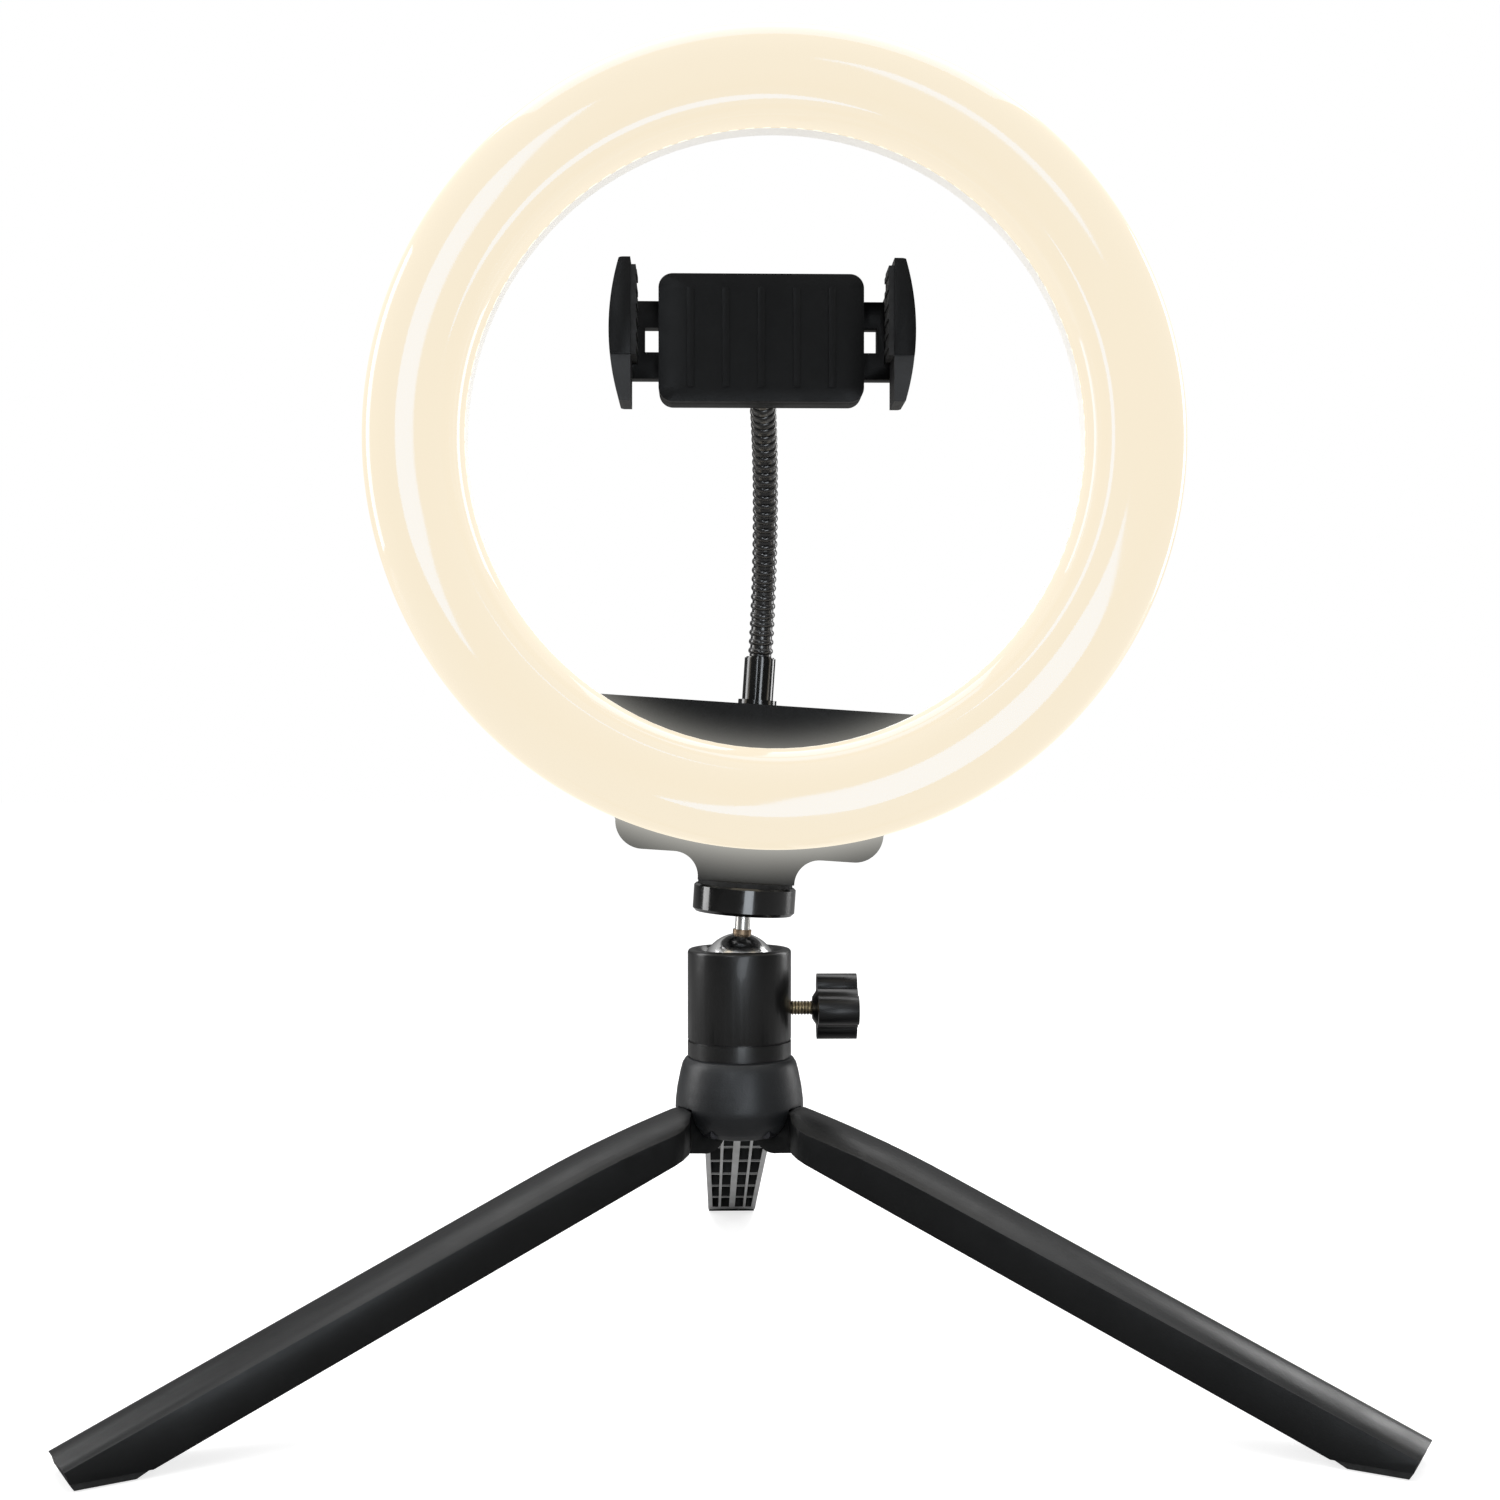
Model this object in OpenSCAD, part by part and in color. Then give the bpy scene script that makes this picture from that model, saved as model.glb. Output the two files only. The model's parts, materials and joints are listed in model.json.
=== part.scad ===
/* [Lamp] */
// Outer diameter of the light ring
ring_od = 260; // [240:1:280]
// Inner diameter of the light ring
ring_id = 196; // [176:1:200]
// Depth of the ring from its back to its front
ring_depth = 20; // [18:1:24]
// Number of LEDs of each colour
leds_each = 60; // [24:1:72]
// Wall of the plastic mouldings
wall = 2; // [1.6:0.1:2.4]

/* [Head] */
// Sideways lean of the head on its ball
head_lean = 3.8; // [0:0.1:8]
// From the ball's centre to the centre of the ring
ring_lift = 170.6; // [168:0.1:174]
// From the ring's centre down to the top edge of the bracket
bracket_drop = 84; // [80:0.5:86]
// Diameter of the ball
ball_d = 25; // [24:0.1:26]
// Height of the ball's centre above the table
ball_z = 123.8; // [123:0.1:125]
// Diameter of the ball-head body
body_d = 33.5; // [33:0.1:34]
// Diameter of the round platform
platform_d = 33; // [31:0.1:34]

/* [Tripod] */
// Widest diameter of the hub
hub_d = 41.4; // [41:0.1:43]
// Height of the top of the hub
hub_top = 96.5; // [96:0.1:97]
// From the hub's axis to the outer end of the foot pads
foot_reach = 212; // [205:1:215]
// Slope of the legs
leg_slope = 22; // [21.5:0.1:22.5]
// Width of a leg near the hub
leg_w = 23; // [22:0.1:23.5]

/* [Phone holder] */
// Opening between the jaws
jaw_gap = 70; // [70:0.5:84]
// Height of a jaw
jaw_h = 39.6; // [38:0.1:42]
// Length of one gooseneck segment
seg_l = 11.7; // [11.6:0.1:12.2]
// Forward bend of the gooseneck, in all
neck_bend = 57; // [40:1:58]
// Sideways bend of the gooseneck, in all
neck_sway = 7.2; // [0:0.2:8]

/* [Hidden] */

$fn = 64;
eps = 0.01;
fit = 0.05;

// Tripod
hub_r = hub_d / 2;
hub_bottom = 71;
pivot_u = 14.5;
pivot_z = 74;
tongue_r = 7;
tongue_half = 4;
slot_half = 4.3;
slot_in = 7.1;
slot_top = 81.5;
pin_r = 1.5;
pin_half = 9;
pad_t = 1.8;
knee_u = 50;
knee_z = 73.6;
root_slope = 15.4;
body_u = 21.1;
body_z = 69.8;
heel_u = foot_reach - 22;
tip_u = foot_reach + 3.2;
crown_r = 21.5;
foot_w = 19;
rib_pairs = 5;
cell_u0 = 34;
cell_roof = 4.8;
bolt_head_r = 5.6;

// The hub's axis stands this far from the middle of the footprint
hub_y = -49.8;

// Lamp, in the ring's frame: +Z to the front, origin at the ring's centre in the plane of the stem
ro = ring_od / 2;
ri = ring_id / 2;
rm = (ro + ri) / 2;
tube_w = ro - ri;
ring_back = 8;
ring_front = ring_back + ring_depth;
shell_edge = ring_back + 7.5;
board_z = ring_back + 4.4;
board_t = 1.6;
board_w = 22;
led_size = 2.8;
led_t = 0.9;
led_row = 5.5;
post_r = 3;
screw_r = 1.3;
screw_clear = 1.6;
head_r = 2.6;
head_t = 1.6;
ring_screw_angles = [30, 90, 150, 210, 330];
mount_screw_angles = [262, 278];

// Bracket, in the head's frame laid flat: X across, Y up the stem, +Z to the front
bracket_top = ring_lift - bracket_drop;
bracket_back = -10;
neck_base = 29.4;
neck_half = 15.5;
neck_fillet = 8;
shoulder_y = 38;
shoulder_half = 43;
shoulder_r = 9;
top_half = 62;
top_r = 6;
bracket_screws_at = [[-50, 76], [50, 76], [-29, 46], [29, 46]];
insert_r = 4.6;
insert_top = neck_base + 11;
stud_r = 3.175;
inlet_y = 51;
inlet_r = 4;
inlet_bore = 2.8;
spigot_r = 4;
spigot_l = 8;
pcb_w = 60;
pcb_y = 60;
pcb_h = 14;

// Ball head
ball_r = ball_d / 2;
body_r = body_d / 2;
base_h = 5.4;
body_low = hub_top + base_h - ball_z;
rim_up = 7.5;
stem_r = 2.4;
collar_r = 3;
notch_r = 3.4;
platform_h0 = 19;
platform_h1 = 28;
lock_down = 11.8;
lock_r = 2.35;
knob_x = 25.2;
knob_l = 13;
knob_core_r = 6.6;
knob_lobe_r = 4.6;
knob_lobe_at = 7;
knob_hub_l = 1.6;
knob_hole = 4.8;

// Gooseneck and phone holder
neck_n = 8;
ferrule_l = 16;
ferrule_r = 5;
rings = 4;
ring_pitch = seg_l / rings;
big_ring = 1.15;
hose_r = 4;
neck_core = 1.9;
neck_gap = 0.6;
step_bend = neck_bend / neck_n;
step_sway = -neck_sway / neck_n;
end_l = 8;
hball_r = 6;
hball_up = 18;
hstem_r = 1.75;
seat_r = 7.2;
cup_r = 9.4;
nut_r = 11;
nut_back = -5;
nut_front = 4;
house_half = 29;
house_up = 18;
house_back = 8;
house_split = 17;
house_front = 20;
house_corner = 4;
jaw_in = jaw_gap / 2;
jaw_t = 6;
jaw_back = 9.5;
jaw_front = 31;
jaw_seam = -7;
jaw_pad_t = 1.5;
arm_z = 10.5;
arm_t = 5;
arm_half = 11;
arm_end = 12;
slide_gap = 0.3;
rod_r = 1.5;
rod_y = 7.5;
spring_r = 2;
spring_wire = 0.35;
spring_turns = 7;
spring_l = 22;
small_screws_at = [[-23, -13.6], [23, -13.6], [-23, 13.6], [23, 13.6]];

// Frames of the tripod, the head, each leg, the gooseneck's segments and the holder
module at_hub() { translate([0, hub_y, 0]) children(); }
module at_ball() { translate([0, hub_y, ball_z]) children(); }
module at_head() { at_ball() rotate([0, head_lean, 0]) children(); }
module at_leg(azimuth) { at_hub() rotate([0, 0, azimuth]) children(); }
module at_bracket() { at_head() rotate([90, 0, 0]) children(); }
module at_ring() { at_bracket() translate([0, ring_lift, 0]) children(); }
module up_neck(k) {
    if (k == 0) children();
    else rotate([step_bend, step_sway, 0]) translate([0, 0, seg_l]) up_neck(k - 1) children();
}
module at_neck(k) { at_head() translate([0, 0, bracket_top + ferrule_l]) up_neck(k) children(); }
module at_segment(k) { at_neck(k - 1) rotate([step_bend, step_sway, 0]) children(); }

// A point carried up the gooseneck: each segment tips forward, then sideways
function tip(v) = [v[0], v[1] * cos(step_bend) - v[2] * sin(step_bend),
    v[1] * sin(step_bend) + v[2] * cos(step_bend)];
function lean(v) = [v[0] * cos(step_sway) + v[2] * sin(step_sway), v[1],
    v[2] * cos(step_sway) - v[0] * sin(step_sway)];
function carried(v, k) = k == 0 ? v : lean(tip([0, 0, seg_l] + carried(v, k - 1)));

// The holder hangs upright on its ball: X across, Y up, +Z to the front
module at_holder() {
    at_head() translate([0, 0, bracket_top + ferrule_l]) translate(carried([0, 0, hball_up], neck_n))
        rotate([0, -head_lean, 0]) rotate([90, 0, 0]) children();
}
module mirrored() {
    children();
    mirror([1, 0, 0]) children();
}

// ---- Lamp ----

// Rounded section of the light ring, from the shell's edge to the front
function round_front(a, half, deep) = [rm + half * sign(cos(a)) * pow(abs(cos(a)), 0.72),
    shell_edge + deep * pow(sin(a), 0.8)];
module ring_section(inset) {
    half = tube_w / 2 - inset;
    deep = ring_front - shell_edge - inset;
    polygon([for (i = [0:32]) round_front(i * 180 / 32, half, deep)]);
}
module around(angles, r) { for (a = angles) rotate([0, 0, a]) translate([r, 0, 0]) children(); }
module tube(r, bore, h) {
    difference() {
        cylinder(r = r, h = h);
        translate([0, 0, -1]) cylinder(r = bore, h = h + 2);
    }
}
module pan_screw(l, r = screw_r, head = head_r) {
    cylinder(r = head, h = head_t);
    translate([0, 0, head_t - eps]) cylinder(r = r, h = l + eps);
}
module ring_diffuser() {
    color("antiquewhite") at_ring() difference() {
        union() {
            rotate_extrude($fn = 96) difference() {
                ring_section(0);
                ring_section(wall);
            }
            around(ring_screw_angles, rm) translate([0, 0, board_z + board_t])
                cylinder(r = post_r, h = ring_front - wall / 2 - board_z - board_t);
        }
        around(ring_screw_angles, rm) cylinder(r = screw_r, h = shell_edge + 6.3);
    }
}
module ring_back_shell() {
    color("whitesmoke") at_ring() difference() {
        union() {
            rotate_extrude($fn = 96) difference() {
                translate([ri, ring_back]) square([tube_w, shell_edge - ring_back]);
                translate([ri + wall, ring_back + wall]) square([tube_w - 2 * wall, shell_edge]);
            }
            around(concat(ring_screw_angles, mount_screw_angles), rm) translate([0, 0, ring_back + wall / 2])
                cylinder(r = post_r, h = board_z - ring_back - wall / 2);
        }
        around(ring_screw_angles, rm) {
            cylinder(r = screw_clear, h = shell_edge + 1);
            translate([0, 0, ring_back - 1]) cylinder(r = head_r, h = head_t + 1);
        }
        around(mount_screw_angles, rm) cylinder(r = screw_r, h = board_z - 0.4);
    }
}
module led_board() {
    color("white") at_ring() difference() {
        translate([0, 0, board_z]) tube(rm + board_w / 2, rm - board_w / 2, board_t);
        around(ring_screw_angles, rm) cylinder(r = screw_clear, h = shell_edge);
    }
}
module led_row(r, phase) {
    step = 360 / leds_each;
    at_ring() around([for (i = [0:leds_each - 1]) (i + phase) * step], r)
        translate([-led_size / 2, -led_size / 2, board_z + board_t]) cube([led_size, led_size, led_t]);
}
module warm_leds() { color("orange") led_row(rm + led_row, 0); }
module cool_leds() { color("lightyellow") led_row(rm - led_row, 0.5); }
module ring_screws() {
    color("silver") at_ring() around(ring_screw_angles, rm) translate([0, 0, ring_back]) pan_screw(12);
}
module ring_mount_screws() {
    color("silver") at_ring() around(mount_screw_angles, rm)
        translate([0, 0, ring_back - wall - head_t]) pan_screw(5);
}

// ---- Bracket ----

// Front view of the bracket, drawn smaller by inset for its inside
module bracket_outline(inset) {
    y1 = bracket_top - inset;
    half = top_half - inset;
    r = top_r - inset;
    s = shoulder_half - inset;
    low = shoulder_y + shoulder_r;
    n = neck_half - inset;
    f = neck_fillet + inset;
    floor_y = max(shoulder_y - neck_fillet, neck_base + inset);
    polygon([[-half, bracket_top - top_r], [-s, low], [s, low], [half, bracket_top - top_r]]);
    translate([-half + r, bracket_top - top_r - eps])
        square([2 * (half - r), y1 - bracket_top + top_r + eps]);
    translate([-shoulder_half + shoulder_r, shoulder_y + inset])
        square([2 * (shoulder_half - shoulder_r), shoulder_r - inset + eps]);
    mirrored() {
        translate([top_half - top_r, bracket_top - top_r]) circle(r);
        translate([shoulder_half - shoulder_r, low]) circle(shoulder_r - inset);
        difference() {
            translate([0, floor_y]) square([n + f, shoulder_y + inset + 1 - floor_y]);
            translate([n + f, shoulder_y - neck_fillet]) circle(f);
        }
    }
    translate([-n, neck_base + inset]) square([2 * n, shoulder_y - neck_base]);
}
module bracket_posts(z, h) {
    translate([0, 0, z]) {
        for (p = bracket_screws_at) translate(p) cylinder(r = post_r + 0.4, h = h);
        translate([-8, neck_base + 1, 0]) cube([16, insert_top - neck_base, h]);
        translate([-7, bracket_top - spigot_l - 2, 0]) cube([14, spigot_l + 1, h]);
    }
}
module upright(y, r, l) { translate([0, y, 0]) rotate([-90, 0, 0]) cylinder(r = r, h = l); }
module bracket_bores() {
    upright(neck_base - 1, insert_r, insert_top - neck_base + 1);
    upright(bracket_top - spigot_l, spigot_r, spigot_l + 1);
}
module bracket_front_shell() {
    color("black") at_bracket() difference() {
        union() {
            difference() {
                linear_extrude(ring_back) bracket_outline(0);
                translate([0, 0, -1]) linear_extrude(ring_back - wall + 1) bracket_outline(wall);
            }
            bracket_posts(0, ring_back - wall / 2);
            for (x = [-26, 26]) translate([x, pcb_y + pcb_h / 2, 2.6]) cylinder(r = 2.5, h = 4);
        }
        bracket_bores();
        for (p = bracket_screws_at) translate([p[0], p[1], -1]) cylinder(r = screw_r, h = 6.5);
        translate([0, ring_lift, 0]) around(mount_screw_angles, rm) cylinder(r = screw_r, h = ring_back + 1);
    }
}
module bracket_rear_shell() {
    color("black") at_bracket() difference() {
        union() {
            difference() {
                translate([0, 0, bracket_back]) linear_extrude(-bracket_back) bracket_outline(0);
                translate([0, 0, bracket_back + wall]) linear_extrude(-bracket_back) bracket_outline(wall);
            }
            bracket_posts(bracket_back + wall / 2, -bracket_back - wall / 2);
        }
        bracket_bores();
        for (p = bracket_screws_at) translate([p[0], p[1], bracket_back - 1]) {
            cylinder(r = screw_r, h = 20);
            cylinder(r = head_r, h = head_t + 1);
        }
        translate([0, inlet_y, bracket_back - 1]) cylinder(r = inlet_r, h = wall + 2);
        mirrored() for (i = [0:4]) translate([11 + 5 * i, 58, bracket_back - 1]) cube([2, 16, wall + 2]);
    }
}
module bracket_screws() {
    color("silver") at_bracket() for (p = bracket_screws_at) translate([p[0], p[1], bracket_back])
        pan_screw(13);
}
module driver_board() {
    color("green") at_bracket() {
        translate([-pcb_w / 2, pcb_y, 1]) cube([pcb_w, pcb_h, board_t]);
        translate([-22, pcb_y + 7, -3]) cylinder(r = 4.5, h = 4 + eps);
        translate([-10, pcb_y + 4, -0.6]) cube([6, 6, 1.6 + eps]);
        translate([6, pcb_y + 7, -4]) cylinder(r = 3.2, h = 5 + eps);
        for (x = [14, 18, 22]) translate([x, pcb_y + 5, 0.2]) cube([2, 4, 0.8 + eps]);
    }
}
module power_inlet() {
    color("dimgray") at_bracket() translate([0, inlet_y, bracket_back]) {
        difference() {
            union() {
                cylinder(r = inlet_r, h = 9);
                translate([0, 0, -0.6]) cylinder(r = inlet_r + 1.2, h = 0.6);
            }
            translate([0, 0, -1]) cylinder(r = inlet_bore, h = 9);
        }
        cylinder(r = 1, h = 9);
    }
}
module thread_insert() {
    color("goldenrod") at_head() translate([0, 0, neck_base]) tube(insert_r, stud_r, insert_top - neck_base);
}

// ---- Ball head ----

module platform_stud() {
    color("silver") at_head() translate([0, 0, platform_h0 + 3]) cylinder(r = stud_r, h = 16);
}
module platform_pad() {
    color("dimgray") at_head() translate([0, 0, platform_h1])
        tube(platform_d / 2 - 1.2, stud_r, neck_base - platform_h1);
}
module platform_disc() {
    r = platform_d / 2;
    color("black") at_head() difference() {
        rotate_extrude() polygon([[0, platform_h0], [r - 1, platform_h0], [r, platform_h0 + 1],
            [r, platform_h1 - 0.6], [r - 0.6, platform_h1], [0, platform_h1]]);
        translate([0, 0, platform_h0 - 1]) cylinder(r = stem_r, h = 3);
        translate([0, 0, platform_h0 + 3]) cylinder(r = stud_r, h = 8);
    }
}
module ball_stem() {
    color("silver") at_head() difference() {
        translate([0, 0, ball_r - 1]) cylinder(r = stem_r, h = platform_h0 + 3 - ball_r);
        sphere(r = ball_r + fit);
    }
}
module stem_collar() {
    color("tan") at_head() difference() {
        translate([0, 0, ball_r - 1]) cylinder(r = collar_r, h = 2.2);
        sphere(r = ball_r + fit);
        cylinder(r = stem_r + fit, h = 20);
    }
}
module ball() { color("gainsboro") at_ball() sphere(r = ball_r); }
module ball_seat() {
    color("ivory") at_ball() difference() {
        translate([0, 0, 2 - ball_r - 3]) cylinder(r = 11.5, h = 7);
        sphere(r = ball_r + fit);
        translate([0, 0, -20]) cylinder(r = 4, h = 20);
    }
}
module ballhead_body() {
    lip = 1.2;
    color("black") at_ball() difference() {
        rotate_extrude() {
            translate([0, body_low + 0.5]) square([body_r, rim_up - lip - body_low - 0.5]);
            translate([0, body_low]) square([body_r - 0.5, 1]);
            translate([0, rim_up - 2 * lip]) square([body_r - lip, 2 * lip]);
            translate([body_r - lip, rim_up - lip]) circle(lip);
        }
        sphere(r = ball_r + fit);
        translate([0, 0, body_low + 2.4]) cylinder(r = ball_r + fit, h = -body_low - 2.4);
        translate([0, 0, 3.6]) cylinder(r1 = 12, r2 = 14, h = rim_up - 3.6 + eps);
        translate([0, 0, body_low - 1]) cylinder(r = stud_r, h = 5);
        translate([0, 0, -lock_down]) rotate([0, 90, 0]) cylinder(r = lock_r + fit, h = body_r + 1);
        rotate([-90, 0, 0]) cylinder(r = notch_r, h = body_r + 1);
        translate([-notch_r, 0, 0]) cube([2 * notch_r, body_r + 1, rim_up + 1]);
    }
}

// Stack of thread crests along Z, each one pitch high
module thread(r, pitch, turns) {
    rotate_extrude() polygon(concat([[0, 0]],
        [for (i = [0:turns - 1], c = [0, 1]) [c == 0 ? r - 0.4 : r, (i + c / 2) * pitch]],
        [[r - 0.4, turns * pitch], [0, turns * pitch]]));
}
module lock_screw() {
    color("darkkhaki") at_ball() translate([11.7, 0, -lock_down]) rotate([0, 90, 0]) thread(lock_r, 1, 18);
}
module lock_knob() {
    color("black") at_ball() translate([knob_x, 0, -lock_down]) rotate([0, 90, 0]) difference() {
        union() {
            cylinder(r = knob_core_r, h = knob_l);
            translate([0, 0, -knob_hub_l])
                cylinder(r1 = knob_core_r - 3, r2 = knob_core_r - 0.6, h = knob_hub_l + eps);
            around([30, 150, 270], knob_lobe_at) cylinder(r = knob_lobe_r, h = knob_l);
        }
        translate([0, 0, -knob_hub_l - 1]) cylinder(r = lock_r, h = knob_hub_l + 1 + knob_hole);
    }
}
module ballhead_base() {
    color("black") at_hub() translate([0, 0, hub_top]) difference() {
        union() {
            cylinder(r = body_r - 0.5, h = base_h);
            translate([0, 0, 0.6]) cylinder(r = body_r, h = base_h - 0.9);
        }
        translate([0, 0, -1]) cylinder(r = stud_r, h = base_h + 2);
    }
}

// ---- Tripod ----

module tripod_bolt() {
    color("silver") at_hub() {
        translate([0, 0, 74]) cylinder(r = bolt_head_r, h = 4, $fn = 6);
        translate([0, 0, 77]) cylinder(r = stud_r, h = hub_top + base_h - 77 + 2);
    }
}
module hub() {
    color("#3b3e42") at_hub() difference() {
        rotate_extrude($fn = 96) polygon([[0, hub_bottom], [11, hub_bottom], [14.4, 71.9], [17.2, 73.8],
            [19.3, 76.6], [hub_r, 80.4], [hub_r - 0.1, 83], [hub_r - 0.6, 87], [hub_r - 1.6, 92],
            [hub_r - 2.3, 94.6], [hub_r - 3.2, 96], [hub_r - 4.2, hub_top], [0, hub_top]]);
        for (a = [90, 210, 330]) rotate([0, 0, a]) {
            translate([slot_in, -slot_half, hub_bottom - 1])
                cube([hub_r, 2 * slot_half, slot_top - hub_bottom + 1]);
            translate([pivot_u, pin_half, pivot_z]) rotate([90, 0, 0]) cylinder(r = pin_r, h = 2 * pin_half);
        }
        cylinder(r = stud_r, h = hub_top + 1);
        cylinder(r = bolt_head_r + 0.2, h = 78);
    }
}
module hub_cap() {
    color("#3b3e42") at_hub() translate([0, 0, hub_bottom]) cylinder(r = bolt_head_r + 0.2, h = 2.6);
}
module hinge_pins() {
    color("silver") for (a = [90, 210, 330]) at_leg(a) translate([pivot_u, pin_half, pivot_z])
        rotate([90, 0, 0]) cylinder(r = pin_r, h = 2 * pin_half);
}

// Deep bar along the leg with a crowned top: X runs outwards, its ridge lies on the X axis
module leg_bar() {
    translate([-60, 0, 0]) rotate([90, 0, 90]) linear_extrude(280) intersection() {
        translate([-leg_w / 2 - 1, -90]) square([leg_w + 2, 91]);
        union() {
            translate([0, -crown_r]) circle(crown_r, $fn = 96);
            translate([-crown_r, -91]) square([2 * crown_r, 91 - crown_r]);
        }
    }
}
// Height of a leg's ridge at a distance from the hub's axis
function ridge(u) = knee_z + (knee_u - u) * tan(u > knee_u ? leg_slope : root_slope);
// Half-width of a leg at a distance from the hub's axis
function leg_half(u) = leg_w / 2 - (leg_w - foot_w) / 2 * (u - 30) / (tip_u - 30);
module side_view(points) {
    translate([0, leg_w, 0]) rotate([90, 0, 0]) linear_extrude(2 * leg_w) polygon(points);
}
module leg_outside() {
    intersection() {
        translate([knee_u, 0, knee_z]) rotate([0, leg_slope, 0]) leg_bar();
        translate([knee_u, 0, knee_z]) rotate([0, root_slope, 0]) leg_bar();
        side_view([[body_u, body_z], [heel_u, pad_t], [foot_reach, pad_t], [foot_reach + 0.6, pad_t + 2],
            [tip_u, 8.2], [tip_u, 20], [knee_u, 95], [body_u, 95]]);
        linear_extrude(100) polygon([[body_u, 5.5], [24, 9.4], [27, 11], [30, leg_w / 2], [tip_u, foot_w / 2],
            [tip_u, -foot_w / 2], [30, -leg_w / 2], [27, -11], [24, -9.4], [body_u, -5.5]]);
    }
}
// Cells between the ribs under a leg
module leg_cells() {
    last = heel_u - 6;
    pair = 3.4;
    bay = (last - cell_u0 - rib_pairs * pair) / (rib_pairs + 1);
    intersection() {
        side_view([[cell_u0 - 10, 0], [cell_u0 - 10, ridge(cell_u0 - 10) - cell_roof],
            [knee_u, knee_z - cell_roof], [tip_u, ridge(tip_u) - cell_roof], [tip_u, 0]]);
        for (i = [0:rib_pairs], part = [0, 1]) if (part == 0 || i < rib_pairs) {
            u0 = cell_u0 + i * (bay + pair) + part * (bay + 0.9);
            u1 = u0 + (part == 0 ? bay : pair - 1.8);
            for (s = [-1, 1]) {
                translate([0, 0, -1]) linear_extrude(100) polygon([[u0, s * 1.2], [u1, s * 1.2],
                    [u1, s * 4.6], [u0, s * 4.6]]);
                translate([0, 0, -1]) linear_extrude(100) polygon([[u0, s * 5.6], [u1, s * 5.6],
                    [u1, s * (leg_half(u1) - 1.8)], [u0, s * (leg_half(u0) - 1.8)]]);
            }
        }
    }
}
module leg(azimuth) {
    color("#2e3033") at_leg(azimuth) difference() {
        union() {
            difference() {
                leg_outside();
                leg_cells();
            }
            translate([0, tongue_half, 0]) rotate([90, 0, 0]) linear_extrude(2 * tongue_half) {
                translate([pivot_u, pivot_z]) circle(tongue_r);
                polygon([[pivot_u, pivot_z + tongue_r], [26, ridge(26) - 2], [28, 68.5],
                    [pivot_u, pivot_z - tongue_r]]);
            }
        }
        translate([pivot_u, leg_w, pivot_z]) rotate([90, 0, 0]) cylinder(r = pin_r + fit, h = 2 * leg_w);
    }
}
module leg_left() { leg(210); }
module leg_right() { leg(330); }
module leg_back() { leg(90); }
module foot_pad(azimuth) {
    color("black") at_leg(azimuth) translate([0, foot_w / 2, 0]) rotate([90, 0, 0]) linear_extrude(foot_w)
        polygon([[heel_u + 1, pad_t], [heel_u + 4.5, 0], [foot_reach - 1.2, 0], [foot_reach, pad_t]]);
}
module foot_pad_left() { foot_pad(210); }
module foot_pad_right() { foot_pad(330); }
module foot_pad_back() { foot_pad(90); }

// ---- Gooseneck ----

module gooseneck_ferrule() {
    color("black") at_head() translate([0, 0, bracket_top]) {
        translate([0, 0, -spigot_l]) cylinder(r = spigot_r, h = spigot_l);
        cylinder(r = ferrule_r + 1.2, h = 1.5);
        cylinder(r = ferrule_r, h = ferrule_l - 1);
        cylinder(r = ferrule_r - 0.5, h = ferrule_l - neck_gap);
    }
}
module segment(k) {
    color("#1b1b1b") at_segment(k) {
        translate([0, 0, neck_gap]) cylinder(r = neck_core, h = seg_l - 2 * neck_gap);
        for (i = [0:rings - 1]) translate([0, 0, (i + 0.5) * ring_pitch]) rotate_extrude()
            translate([hose_r - big_ring, 0]) circle(big_ring, $fn = 32);
        for (i = [1:rings - 1]) translate([0, 0, i * ring_pitch - 0.45]) cylinder(r = hose_r - 0.55, h = 0.9);
    }
}
module gooseneck_segment_1() { segment(1); }
module gooseneck_segment_2() { segment(2); }
module gooseneck_segment_3() { segment(3); }
module gooseneck_segment_4() { segment(4); }
module gooseneck_segment_5() { segment(5); }
module gooseneck_segment_6() { segment(6); }
module gooseneck_segment_7() { segment(7); }
module gooseneck_segment_8() { segment(8); }
module gooseneck_end() {
    color("black") at_neck(neck_n) {
        translate([0, 0, -neck_gap]) cylinder(r = neck_core, h = 2 * neck_gap);
        cylinder(r = ferrule_r - 0.4, h = end_l - 3);
        translate([0, 0, end_l - 3]) cylinder(r1 = ferrule_r - 0.4, r2 = 2.6, h = 3);
    }
}

// ---- Phone holder ----

module holder_stem() {
    color("silver") at_neck(neck_n) difference() {
        translate([0, 0, end_l]) cylinder(r = hstem_r, h = hball_up - end_l);
        translate([0, 0, hball_up]) sphere(r = hball_r + 0.05);
    }
}
module holder_ball() {
    color("silver") at_neck(neck_n) translate([0, 0, hball_up]) sphere(r = hball_r);
}
module holder_seat() {
    color("ivory") at_holder() difference() {
        intersection() {
            sphere(r = seat_r - fit);
            translate([0, 0, 3.6]) cylinder(r = 10, h = 10);
        }
        sphere(r = hball_r + fit);
    }
}
module holder_nut() {
    color("black") at_holder() difference() {
        translate([0, 0, nut_back]) cylinder(r = nut_r, h = nut_front - nut_back);
        translate([0, 0, -2.2]) cylinder(r = cup_r + 0.1, h = 8);
        translate([0, 0, nut_back - eps]) cylinder(r1 = 9.2, r2 = 5.6, h = 2.2);
        sphere(r = hball_r + 0.3);
        around([for (i = [0:23]) i * 15], nut_r + 0.25) translate([0, 0, nut_back - 1])
            cylinder(r = 0.7, h = 12);
    }
}
module holder_socket() {
    color("black") at_holder() difference() {
        translate([0, 0, -2]) cylinder(r = cup_r, h = house_back + 2);
        sphere(r = seat_r);
    }
}
module house_outline(inset) {
    w = house_half - inset;
    h = house_up - inset;
    r = house_corner - inset;
    translate([-w + r, -h]) square([2 * (w - r), 2 * h]);
    translate([-w, -h + r]) square([2 * w, 2 * (h - r)]);
    for (x = [-1, 1], y = [-1, 1]) translate([x * (w - r), y * (h - r)]) circle(r);
}
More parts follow.
